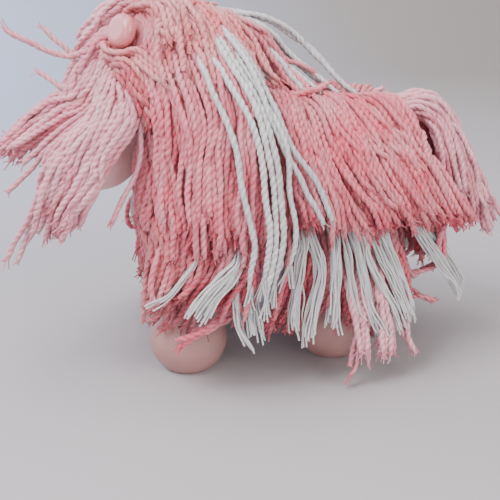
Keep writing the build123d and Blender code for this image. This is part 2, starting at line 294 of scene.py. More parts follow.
B3 = [(22, -1, 76.5), (29.3, -11, 82.3), (32.9, -20, 77.6), (37.9, -27, 68.9),
      (44.2, -31, 58.1), (50.4, -31, 45.9)]
B4 = [(34, -1, 76), (40.5, -8, 81.9), (44.2, -14, 77.8), (46.7, -20, 69.3),
      (52.1, -25, 58.5), (59.5, -26, 45.6)]
B5 = [(42, -2, 72), (47.6, -8, 78.4), (47.1, -14, 69.8), (50.7, -19, 61.9),
      (57.2, -22, 53.3), (67.6, -22, 39.5)]
Qa = [(43, -2, 71), (54.1, -4, 78.6), (58.8, -7, 75), (60.8, -10, 67.5),
      (62, -12, 59.7), (62.7, -13, 49.6)]
Qb = [(43, -1, 72.5), (54.8, -2, 80.9), (62.6, -4, 75.6), (68.5, -7, 65.7),
      (72.8, -9, 52), (75.1, -11, 35.9)]
Qc = [(43, 1, 73), (56.8, 1, 81.3), (64.3, 1, 76.9), (73.7, 0, 64.5), (82.6, -2, 47.5),
      (89.7, -4, 32.4)]
S0 = [(-36, -16, 58), (-38.5, -24, 54.5), (-38.6, -28, 49.2), (-37.8, -30, 37.2),
      (-36.9, -29, 28.2)]
S1 = [(-26, -17, 68), (-27.1, -30, 56.8), (-28.7, -33, 46.4), (-33.2, -33, 35.4),
      (-37.8, -31, 25.9)]
S2 = [(-12, -20, 68), (-16.1, -33, 53.8), (-18.6, -36, 41.6), (-24.8, -36, 32),
      (-31.9, -34, 24)]
S3 = [(-3, -20, 68), (-4.2, -34, 50.1), (-8, -37.5, 37.5), (-11.5, -38, 26.7),
      (-15.1, -37, 19.3)]
H0 = [(-36, -13, 56), (-39.3, -20, 51), (-39.3, -22, 44), (-37.9, -24, 31.6)]
D0 = [(-2, -19, 66), (4.7, -31, 43.6), (3.1, -33, 31.4), (-1.9, -33, 22.5),
      (-7.8, -34, 14)]
D1 = [(10, -19, 66), (14.3, -31, 42.8), (13.4, -33, 30.4), (10.4, -33, 20.5),
      (7, -34, 13.8)]
D2 = [(26, -19, 66), (25.3, -31, 41.9), (26.5, -33, 29.2), (28, -34, 17.4),
      (30.3, -34, 10.1)]
D3 = [(40, -17, 64), (39.7, -28, 43.1), (42.3, -30, 31.7), (43.7, -31, 23.3),
      (45.6, -31, 15.3)]
E1 = [(22, -20, 54), (23.1, -35, 32), (25.1, -38, 19.5), (23.2, -41, 9.8),
      (19.8, -44, 3.4)]
E2 = [(28, -20, 54), (27, -35, 31.6), (28.5, -38, 19.2), (26.5, -41, 9.4),
      (24.1, -44, 3.5)]
E3 = [(33, -20, 54), (31, -35, 29.6), (33.1, -38, 18.7), (32.1, -40, 11.1),
      (31, -42, 4.5)]
E4 = [(36, -20, 54), (33.7, -35, 29.3), (35.8, -38, 18.4), (35.5, -40, 10.7),
      (34.7, -42, 4)]
E5 = [(42, -18, 52), (40.4, -32, 27.5), (42.5, -35, 16.4), (45.2, -36, 11.2),
      (47.8, -37, 7.1)]
T1a = [(6, -22.5, 62), (8.8, -35, 49.2), (7.9, -36.5, 42.7), (6.1, -38, 32.5),
      (5.1, -39, 23.1), (6.2, -40, 17.4)]
T1b = [(9, -22.5, 62), (10.4, -35, 49), (13.5, -37, 39.2), (11.5, -39, 30.4),
      (9.1, -40.5, 20.7), (9, -41.5, 14.4)]
T2 = [(15, -22.5, 62), (17.9, -35, 49.1), (18.4, -36.5, 40.9), (17.8, -38.5, 29.3),
      (16.3, -40, 19.3)]
T2b = [(17, -22.5, 62), (18.6, -35, 47.1), (19, -37, 36.5), (18.5, -38.5, 26.9),
      (20.1, -40, 15.2)]
T3 = [(20, -22.5, 62), (21.9, -35, 46.2), (23.2, -37, 36.4), (24.7, -38.5, 26.2),
      (28.9, -39, 16.5)]
T4 = [(22, -22.5, 62), (24.3, -35, 48.3), (26.6, -37, 38.4), (28.9, -38.5, 25.8),
      (34.2, -39.5, 13.7)]
T5 = [(25, -22.5, 62), (27.7, -34, 46.4), (29.6, -36, 38.1), (36.3, -37.5, 25.7),
      (41.2, -38, 13.3)]
T6 = [(30, -22, 62), (31.9, -33, 46.7), (37, -35, 35.4), (41.5, -36, 25.9),
      (44.7, -36.5, 16.1)]
T6b = [(34, -21.5, 62), (35.9, -32, 46), (39.7, -34, 35.8), (43.7, -35, 25),
      (45.4, -35.5, 17.4)]
VA = [(-20, -22, 60), (-23.1, -35, 46.7), (-26.8, -37, 41.8), (-31.8, -37.5, 35.2),
      (-40.7, -37, 29.8)]
VB = [(-8, -22.5, 60), (-11.9, -38, 45.4), (-16, -41.5, 41), (-22.3, -43, 35),
      (-27.2, -43, 27.4)]
VD = [(0, -22.5, 60), (-5.5, -37, 42.8), (-8.1, -39, 33.6), (-8, -40, 25.5),
      (-7, -41, 17.3)]
VE = [(-4, -22.5, 60), (-12.2, -37, 40.8), (-13.4, -38.5, 35.2), (-12.9, -40, 24.1),
      (-8.5, -41, 15.1)]
VC = [(-10, -20, 50), (-11.4, -36, 31.3), (-15.9, -37, 28), (-23.5, -38, 23.3),
      (-35.1, -36, 18.3)]
VF = [(-8, -20, 48), (-13.5, -34, 28.1), (-19.3, -35, 23.8), (-26.1, -35, 20.5),
      (-30.8, -33, 14.7)]
R1 = [(44, -19, 57), (50.9, -24, 43.2), (56.6, -25, 35.1), (62.5, -26, 26.6),
      (66, -26, 19.4)]
R2 = [(45, -17, 56), (55, -21, 42.2), (60.8, -22, 35.8), (66, -23, 27.9),
      (68.4, -23, 20.5)]
L1 = [(-24, -20, 52), (-34.6, -33, 46), (-37.7, -35, 40.7), (-37.8, -36, 33.9),
      (-35.5, -36, 32.1), (-33.8, -36, 37.6), (-31.4, -35, 44.3)]
L2 = [(-4, -22, 56), (-9.8, -37, 43.1), (-12.8, -38.5, 36.7), (-12.7, -39, 30.5),
      (-10.2, -39, 27.3), (-9, -39, 31.7), (-9.4, -38, 37.8)]
L3 = [(-8, -22, 56), (-15, -36, 43.2), (-20.2, -38, 37.2), (-23, -38, 31.7),
      (-21.6, -38, 28.6), (-17.3, -38, 32.1)]
L4 = [(48, -10, 50), (47.7, -20, 32), (51, -22, 28.9), (57.4, -24, 31.2)]
L5 = [(48, -12, 44), (47.8, -22, 22.7), (52.4, -24, 21.7), (57.8, -25, 19.4)]


def far(g, dz, dx=0.0):
    """The same curve for the right side, sunk by dz towards its tip."""
    n = len(g) - 1
    return [(x + dx * (k / n), y, z - dz * (k / n)) for k, (x, y, z) in enumerate(g)]


def single(piece, g, seed, n=1, gap=1.7, **kw):
    """n separate strands side by side along one guide."""
    o = dict(thick=0.4, side=0.05, tip_side=0.1, wave=0.35, tip_drift=0.3, cut=0.02,
             lift=0.15)
    o.update(kw)
    for k in range(n):
        s = (k - (n - 1) / 2.0) * gap
        c = np.asarray(g, float)
        d, nr = sdf(c)
        tn = np.gradient(c, axis=0)
        bi = np.cross(nr, tn)
        bi /= np.linalg.norm(bi, axis=1)[:, None] + 1e-9
        t = np.linspace(0.35, 1, len(c))[:, None]
        lock(piece, [[tuple(p) for p in c + bi * s * t]], 1, seed + k, **o)


C0 = [(x + 5.6 * min(k, 3) / 3, y, z) for k, (x, y, z) in enumerate(C0)]
C1 = [(x + 2.6 * min(k, 3) / 3, y, z) for k, (x, y, z) in enumerate(C1)]
S0 = [(x + 3.4, y, z - 1.8 * k) for k, (x, y, z) in enumerate(S0)]
H0 = [(x + 2.6, y, z) for x, y, z in H0]

# forelock: fans forward and down from the brow, over both cheeks
lock("forelock_left", [F0, F1], 15, 11, thick=3.0, side=0.9, tip_side=1.3, clumps=4,
     clump_pull=0.5, wave=0.8, tip_drift=1.2, cut=0.10, col="pale", lift=0.2)
lock("forelock_left", [F1, F2], 6, 12, thick=3.5, side=0.8, tip_side=1.0, wave=0.8,
     tip_drift=1.2, cut=0.45, col="pale", lift=0.2, u=(0.1, 0.75))
single("forelock_left", F2, 13, n=2, gap=1.5, wave=0.8, col="pale", base=3.0)
lock("forelock_left", [F3, F4], 32, 14, thick=4.5, side=0.9, tip_side=1.4, clumps=7,
     clump_pull=0.5, wave=0.8, tip_drift=1.3, cut=0.14, col="pale", lift=0.2)
lock("forelock_left", [F2, F3], 9, 15, thick=4.0, side=0.9, tip_side=1.2, wave=0.8,
     tip_drift=1.2, cut=0.28, col="pale", lift=0.2, u=(0.35, 1.0), base=1.5)
single("forelock_left", F5, 17, wave=0.6, col="pale", base=3.0)
for k, g in enumerate((WA, WB, WC)):
    single("forelock_left", g, 20 + k, n=1, wave=1.1, col="pale", base=2.5)
FR = [far(F0, 5, 3), far(F1, 7, 7), far(F2, 5, 13), far(F3, 6, 8), far(F4, 4, 3)]
lock("forelock_right", FR, 52, 31, thick=5.0, side=1.0, tip_side=1.6, clumps=10,
     clump_pull=0.5, wave=0.9, tip_drift=1.6, cut=0.16, col="pale", lift=0.2, mirror=True)
single("forelock_right", F5, 37, n=2, wave=0.8, col="pale", base=3.0, mirror=True)
FC = [(-42, 0, 106.5), (-51, 0, 100), (-57.5, 0, 91), (-60.5, 1, 84), (-62.5, 1, 76)]
FD = [(-41, -7, 106.5), (-50, -8, 98), (-56, -9, 89), (-59.5, -9, 80), (-62.5, -8, 72)]
lock("forelock_left", [FD, FC], 8, 38, thick=1.5, side=0.9, tip_side=1.2, wave=0.8,
     tip_drift=1.2, cut=0.3, col="pale", lift=0.2)
lock("forelock_right", [FD, FC], 8, 39, thick=1.5, side=0.9, tip_side=1.2, wave=0.8,
     tip_drift=1.2, cut=0.3, col="pale", lift=0.2, mirror=True)
# strands from the crown that fall between the ears
FE = [(-33, 3, 114.5), (-38.5, 6, 114.2), (-43.5, 8.5, 112.2), (-48, 9, 107.5),
      (-52.5, 8, 101), (-56, 6, 94)]
FG = [(-33, 7, 113), (-38.5, 9, 112.4), (-43, 10.5, 109.5), (-47, 11, 104.5),
      (-51, 11, 98.5), (-54, 10, 91)]
lock("forelock_right", [FE, FG], 9, 61, thick=1.0, side=1.0, tip_side=1.4, wave=0.6,
     tip_drift=1.2, cut=0.2, col="pale", lift=0.1)
# short turns of yarn at the brow, by the ear
for k, (g, n) in enumerate(((G1, 3), (G2, 3), (G3, 4))):
    single("forelock_left", g, 41 + 5 * k, n=n, gap=1.8, wave=0.7, col="salmon",
           base=2.5, tip_drift=1.2, cut=0.1)
    single("forelock_right", g, 81 + 5 * k, n=n, gap=1.8, wave=0.7, col="salmon",
           base=2.5, tip_drift=1.2, cut=0.1, mirror=True)
lock("forelock_left", [G2, G3], 9, 56, thick=2.5, side=1.0, tip_side=1.4, wave=0.8,
     tip_drift=1.5, cut=0.3, col="rose", lift=0.2)
lock("forelock_right", [G2, G3], 9, 57, thick=2.5, side=1.0, tip_side=1.4, wave=0.8,
     tip_drift=1.5, cut=0.3, col="rose", lift=0.2, mirror=True)

# cheek and neck curtain, rooted along the crest
both("neck_fall", [C0, C1, C2, C3, C4], 88, 131, thick=7.0, side=1.0, tip_side=1.5,
     clumps=12, clump_pull=0.9, wave=0.75, tip_drift=1.4, cut=0.15, col="pink",
     lift=0.12, thin=0.25, shift=(10, 8, 5, 2))
N0 = [(-36, -17, 99), (-35, -20, 88), (-35, -21, 76), (-34, -22, 60)]
N1 = [(-29, -19, 99), (-28, -22, 88), (-28, -23, 74), (-28, -24, 56)]
both("neck_fall", [N0, N1], 15, 137, thick=1.2, side=1.0, tip_side=1.4, wave=0.8,
     tip_drift=1.2, cut=0.2, col="rose", lift=0.15, shift=(8, 7))
N2 = [(-35, -14, 93), (-37, -18, 82), (-38.2, -20, 70), (-38.2, -21, 57),
      (-37.5, -22, 44)]
N3 = [(-33, -17, 94), (-34.5, -20, 82), (-35, -22, 70), (-35, -23, 57), (-34, -24, 43)]
lock("neck_fall_left", [N2, N3], 12, 138, thick=1.2, side=0.8, tip_side=1.2, wave=0.7,
     tip_drift=1.0, cut=0.2, col="pink", lift=0.15)
# shorter strands over it, from the top of the head
both("crest", [K0, K1, K2, K3], 44, 141, thick=3.0, side=1.4, tip_side=2.2, wave=1.0,
     tip_drift=2.2, cut=0.4, col="salmon", lift=0.2, base=4.5, clumps=9, clump_pull=0.35)

# under layer on the shoulder, rooted on the torso
both("shoulder", [S0, S1, S2, S3], 50, 151, thick=3.5, side=1.2, tip_side=1.8,
     clumps=9, clump_pull=0.5, wave=1.0, tip_drift=1.8, cut=0.2, col="rose", lift=0.2,
     thin=0.3, shift=(9, 7, 3))
for k, (g, s) in enumerate(((L1, 0), (L2, 0), (L3, 0))):
    single("shoulder_left", g, 171 + k, n=1, wave=0.3, col="pink", base=5.5)
    single("shoulder_right", g, 176 + k, n=1, wave=0.3, col="pink", base=5.5, mirror=True)
for k, g in enumerate((VC, VF)):
    single("shoulder_left", g, 181 + 3 * k, n=2, gap=1.8, wave=0.7, col="pink",
           base=4.0, tip_drift=1.0, cut=0.15)
    single("shoulder_right", g, 191 + 3 * k, n=2, gap=1.8, wave=0.7, col="pink",
           base=4.0, tip_drift=1.0, cut=0.15, mirror=True)

# white mane lock: separate strands side by side
M0 = [(x - 1.2 * min(k, 4) / 4, y, z) for k, (x, y, z) in enumerate(M0)]
M4 = [(x + 1.6 * min(k, 4) / 4, y, z) for k, (x, y, z) in enumerate(M4)]
for k, (g, n, kd) in enumerate(((M0, 1, "frayed"), (M1, 1, "frayed"), (M2, 2, "frayed"),
                                (M3, 2, "yarn"), (M4, 1, "frayed"))):
    for s, mir in (("left", False), ("right", True)):
        single("white_mane_" + s, g, 201 + 7 * k + 50 * mir, n=n, gap=2.8, wave=0.5,
               col="white", base=12.5, kind=kd, cut=0.05, tip_drift=0.5, mirror=mir)
# white strands that arch over the withers
for k, (g, n) in enumerate(((A1, 2), (A2, 2), (A3, 2), (A4, 3))):
    single("white_top", g, 301 + 5 * k, n=n, gap=2.0, wave=0.5, col="white", base=7.5,
           cut=0.06, tip_drift=0.8)
for k, (g, n) in enumerate(((X1, 2), (X2, 2))):
    single("white_top", g, 331 + 5 * k, n=n, gap=1.6, wave=0.7, col="pink", base=7.5,
           cut=0.06, tip_drift=0.8)
lock("white_top", [A1, far(A1, 6, -3)], 7, 345, thick=2.0, side=1.2, tip_side=1.8,
     wave=0.8, tip_drift=1.5, cut=0.2, col="pink", base=5.0)
single("white_top", A1, 351, n=2, gap=2.0, wave=0.5, col="white", base=7.0, cut=0.1,
       mirror=True)

# back coat, rooted along the spine and swept back and down
both("back_coat", [B0, B1, B2, B3, B4, B5], 128, 371, thick=6.5, side=1.0, tip_side=1.4,
     clumps=18, clump_pull=0.6, wave=0.75, tip_drift=1.2, cut=0.1, col="coat", lift=0.1)
BM = [(-9, -2, 77), (-5, -21, 84), (-3, -31, 74), (-1, -34, 62), (1, -35, 50)]
both("back_coat", [BM, B0], 16, 373, thick=2.0, side=1.0, tip_side=1.4, wave=0.8,
     tip_drift=1.2, cut=0.2, col="rose", lift=0.1)
both("back_coat", [B0, B1, B2, B3, B4], 26, 375, thick=2.0, side=1.6, tip_side=2.4,
     wave=1.0, tip_drift=2.0, cut=0.5, col="salmon", lift=0.15, base=6.5)
single("back_coat_left", X3, 381, wave=0.8, col="pale", base=1.0)
# second layer, rooted on the flank tape
both("under_coat", [D0, D1, D2, D3], 62, 391, thick=2.0, side=1.3, tip_side=2.0,
     clumps=13, clump_pull=0.5, wave=1.1, tip_drift=1.8, cut=0.2, col="rose", lift=0.2)
# long low locks that reach the table
both("low_lock", [E1, E2], 7, 401, thick=1.5, side=0.9, tip_side=1.2, clumps=2,
     clump_pull=0.4, wave=0.8, tip_drift=1.0, cut=0.12, col="pale", lift=0.2)
both("low_lock", [E3, E4], 6, 402, thick=1.5, side=0.9, tip_side=1.2, clumps=2,
     clump_pull=0.4, wave=0.8, tip_drift=1.0, cut=0.12, col="pale", lift=0.2)
both("low_lock", [E5], 2, 403, thick=1.0, side=0.9, tip_side=1.2, wave=0.8,
     tip_drift=1.0, cut=0.12, col="pale", lift=0.2)

# rump
R0 = [(46, -3, 66), (55, -9, 64), (58, -19, 50), (57, -22, 30)]
R9 = [(47, -2, 62), (55, -4, 60), (59, -10, 45), (58, -12, 26)]
R8 = [(47, 2, 60), (54, 3, 58), (58, 1, 42), (57, 0, 24)]
both("rump", [R0, R9, R8], 34, 411, thick=3.5, side=1.3, tip_side=2.0, clumps=6,
     clump_pull=0.5, wave=1.0, tip_drift=2.0, cut=0.25, col="pink", lift=0.2)
for k, g in enumerate((L4, L5)):
    single("rump_left", g, 415 + k, n=2, gap=1.6, wave=1.0, col="pink", tip_drift=1.0)
    single("rump_right", g, 418 + k, n=2, gap=1.6, wave=1.0, col="pink", tip_drift=1.0,
           mirror=True)

# chest
H1 = [(-37.4, 0, 56), (-39.6, 0, 51), (-40, 0, 44), (-38, 0, 34)]
CHEST = dict(thick=0.5, side=1.0, tip_side=1.4, clumps=5, clump_pull=0.5, wave=0.8,
             tip_drift=1.2, cut=0.25, col="rose", lift=0.25)
lock("chest_left", [H0, H1], 14, 421, u=(0.0, 0.5), **CHEST)
HR0 = [(-31, -13, 57), (-32.5, -18, 53), (-33, -20.5, 48.5), (-32.5, -22, 43)]
HR1 = [(-36, -2, 57), (-37.8, -2, 53), (-38.2, -2, 48.5), (-37.6, -2, 43)]
lock("chest_right", [HR0, HR1], 12, 5421, u=(0.0, 0.32), mirror=True, **CHEST)

# tail
lock("tail", [Qa, Qb, Qc], 40, 431, thick=4.0, side=1.2, tip_side=1.8, clumps=9,
     clump_pull=0.4, wave=1.0, tip_drift=1.6, cut=0.16, col="pale", lift=0.25)
lock("tail", [Qa, Qb, Qc], 30, 432, thick=4.0, side=1.2, tip_side=1.8, clumps=6,
     clump_pull=0.4, wave=1.0, tip_drift=1.6, cut=0.22, col="pale", lift=0.25,
     mirror=True)

# wisps on each leg, over the foot
for lx, end in ((-23.5, "front"), (26.0, "hind")):
    for sgn, nm in ((-1, "left"), (1, "right")):
        g0 = [(lx + 6, -23.6, 37), (lx + 8, -25.5, 28), (lx + 9, -26.5, 20), (lx + 9, -26, 15)]
        g1 = [(lx - 2, -24.8, 37), (lx - 3, -26, 29), (lx - 6, -26, 23), (lx - 10, -23.5, 19)]
        g2 = [(lx - 7, -20, 35), (lx - 10, -19, 29), (lx - 13, -17, 22), (lx - 14, -14, 17)]
        lock("leg_" + end + "_" + nm + "_yarn", [g0, g1, g2], 15,
             441 + (7 if end == "hind" else 0) + (3 if sgn > 0 else 0),
             thick=1.5, side=1.1, tip_side=1.6, wave=0.9, tip_drift=1.2, cut=0.25,
             col="rose", lift=0.2, mirror=sgn > 0)


# -------------------------------------------------- unravelled white tufts
TUFTS = []


def tuft(piece, guide, n, seed, width=2.6, depth=1.3, flare=1.25, cut=0.14,
         r=0.29, mirror=False, base=9.0):
    """A tuft of thin untwisted threads round one centre curve."""
    rng = np.random.default_rng(seed)
    n = int(round(n * 1.7))
    C = even(guide, M)
    tan = np.gradient(C, axis=0)
    tan /= np.linalg.norm(tan, axis=1)[:, None]
    d, nrm = sdf(C)
    bi = np.cross(nrm, tan)
    bi /= np.linalg.norm(bi, axis=1)[:, None] + 1e-9
    out = np.cross(tan, bi)
    for k in range(n):
        a = rng.uniform(0, 2 * math.pi)
        q = math.sqrt(rng.uniform(0, 1))
        ox, oy = q * math.cos(a) * width, q * math.sin(a) * depth
        grow = 0.45 + 0.55 * smooth01(T / 0.35) + (flare - 1.0) * T ** 2
        ph = rng.uniform(0, 2 * math.pi, 4)
        L = np.linalg.norm(np.diff(C, axis=0), axis=1).sum()
        cyc = L / rng.uniform(9, 16)
        w = 0.28 * smooth01(T / 0.3)
        off1 = ox * grow + w * np.sin(2 * math.pi * cyc * T + ph[0]) \
            + rng.normal(0, 0.8) * T ** 2.5
        off2 = oy * grow + w * np.sin(2 * math.pi * cyc * 1.2 * T + ph[1]) \
            + rng.normal(0, 0.6) * T ** 2.5
        P = C + bi * off1[:, None] + out * off2[:, None]
        Lk = rng.uniform(1 - cut, 1.0)
        P = np.stack([np.interp(T * Lk, T, P[:, j]) for j in range(3)], 1)
        if mirror:
            P[:, 1] *= -1
        TUFTS.append(dict(P=P, layer=base, r=r * rng.uniform(0.85, 1.15),
                          kind="thread", col="white", piece=piece,
                          seed=int(rng.integers(1 << 30)), lift=0.2))


NEAR = [(T1a, 11, 2.0), (T1b, 10, 1.9), (T2, 11, 1.6), (T2b, 2, 0.4), (T3, 4, 0.8),
        (T4, 9, 1.5), (T5, 8, 1.7), (T6, 13, 2.3), (T6b, 9, 1.8)]
FRONT = [(VA, 3, 0.6), (VB, 16, 2.6), (VD, 13, 1.9), (VE, 5, 0.8)]
rngF = np.random.default_rng(7)
for k, (g, n, wd) in enumerate(NEAR + FRONT):
    over = 9.0 if k < len(NEAR) else 12.5
    tuft("white_fringe_left", g, n, 500 + k, width=wd, base=over)
    g2 = [tuple(np.array(p) + (rngF.normal(0, 1.2) * (i > 0), 0, rngF.normal(0, 2.0) * (i == len(g) - 1)))
          for i, p in enumerate(g)]
    tuft("white_fringe_right", g2, n, 550 + k, width=wd, mirror=True, base=over)
for k, (g, n, wd) in enumerate(((R1, 17, 2.6), (R2, 14, 2.2))):
    tuft("white_tuft_left", g, n, 600 + k, width=wd, flare=0.55)
    tuft("white_tuft_right", g, n, 605 + k, width=wd, flare=0.55, mirror=True)

# ------------------------------------------- lay the strands beside each other
STR = ALL + TUFTS
S = len(STR)
P = np.stack([s["P"] for s in STR])
R = np.array([s["r"] for s in STR])
THIN = np.array([s["kind"] == "thread" for s in STR])
LAY = np.array([s["layer"] for s in STR])
LIFT = np.array([s["lift"] for s in STR])
ROOT = P[:, :2].copy()
HOME = P.copy()
SEG = np.linalg.norm(np.diff(P, axis=1), axis=2).mean(1)
need = 0.45 * LAY[:, None] * smooth01(T[None] / LIFT[:, None]) + 0.2
need = np.minimum(need, 7.0)
idx = np.repeat(np.arange(S), M)
rad_pt = np.repeat(np.where(THIN, R * 0.95, R * 0.86), M)


def push_apart(P, cell=2.2, strength=0.5):
    Q = P.reshape(-1, 3)
    c = np.floor(Q / cell).astype(np.int64) + 512
    key = (c[:, 0] << 20) + (c[:, 1] << 10) + c[:, 2]
    order = np.argsort(key, kind="stable")
    ks = key[order]
    uk, start, count = np.unique(ks, return_index=True, return_counts=True)
    D = np.zeros_like(Q)
    W = np.zeros(len(Q))
    for dx in (-1, 0, 1):
        for dy in (-1, 0, 1):
            for dz in (-1, 0, 1):
                tk = key + (dx << 20) + (dy << 10) + dz
                pos = np.searchsorted(uk, tk)
                pos = np.minimum(pos, len(uk) - 1)
                ok = uk[pos] == tk
                cnt = np.where(ok, count[pos], 0)
                for k in range(min(int(cnt.max()), 10)):
                    m = np.nonzero(cnt > k)[0]
                    j = order[start[pos[m]] + k]
                    keep = idx[j] != idx[m]
                    m, j = m[keep], j[keep]
                    d = Q[m] - Q[j]
                    L = np.linalg.norm(d, axis=1)
                    want = rad_pt[m] + rad_pt[j]
                    hit = (L < want) & (L > 1e-6)
                    m, d, L, want = m[hit], d[hit], L[hit], want[hit]
                    mv = d / L[:, None] * ((want - L) * 0.5)[:, None]
                    np.add.at(D, m, mv)
                    np.add.at(W, m, 1.0)
    W = np.maximum(W, 1.0)
    return P + (strength * 2.0 * D / np.sqrt(W)[:, None]).reshape(P.shape)


ROUNDS = 16
for it in range(ROUNDS):
    P = push_apart(P)
    # keep off the figure and the table
    d, nrm = sdf(P.reshape(-1, 3))
    gap = need.reshape(-1) + np.repeat(R * 0.9, M) - d
    gap = np.clip(gap, 0, None)
    gap[np.arange(len(gap)) % M == 0] = 0
    P = P + (nrm * (gap * 0.8)[:, None]).reshape(P.shape)
    P[..., 2] = np.maximum(P[..., 2], R[:, None] + 0.15)
    P = P + 0.09 * (HOME - P)
    P[:, 1:-1] += 0.30 * (0.5 * (P[:, :-2] + P[:, 2:]) - P[:, 1:-1])
    for _ in range(2):
        for a in (0, 1):
            A, B = P[:, a:-1:2], P[:, a + 1::2]
            k = min(A.shape[1], B.shape[1])
            A, B = P[:, a:a + 2 * k:2], P[:, a + 1:a + 1 + 2 * k:2]
            dv = B - A
            L = np.linalg.norm(dv, axis=2, keepdims=True) + 1e-9
            corr = 0.5 * (L - SEG[:, None, None]) / L * dv * 0.8
            P[:, a:a + 2 * k:2] += corr
            P[:, a + 1:a + 1 + 2 * k:2] -= corr
    P[:, :2] = ROOT
for k, s in enumerate(STR):
    s["P"] = P[k]

# ------------------------------------------------------------ tube builder
# each colour is (tone for strands deep in a lock, painted shade; tone for the outermost strands)
COLORS = {
    "pink": ((0.62, 0.085, 0.125), (0.86, 0.31, 0.37)),
    "pale": ((0.72, 0.20, 0.26), (0.90, 0.48, 0.55)),
    "salmon": ((0.72, 0.15, 0.17), (0.89, 0.40, 0.42)),
    # coat: painted shade, a darker copy of pink for the back coat, which gets more light from above
    "coat": ((0.60, 0.080, 0.120), (0.83, 0.245, 0.30)),
    # rose: painted shade, a darker and more saturated copy of pink for the under layers that lie beneath
    # other strands
    "rose": ((0.54, 0.085, 0.115), (0.75, 0.22, 0.265)),
    "white": ((0.60, 0.58, 0.58), (0.75, 0.73, 0.74)),
}


def ply_profile(kind):
    if kind == "thread":
        a = np.linspace(0, 2 * math.pi, 5, endpoint=False)
        return a, np.ones(5), np.ones(5)
    a = np.radians([0, 60, 90, 120, 180, 240, 270, 300])
    rr = np.array([1.0, 0.90, 0.62, 0.90] * 2)
    # shade: painted shade, the colour is darker in the groove where the two plies meet
    shade = np.array([1.0, 0.985, 0.86, 0.985] * 2)
    return a, rr, shade


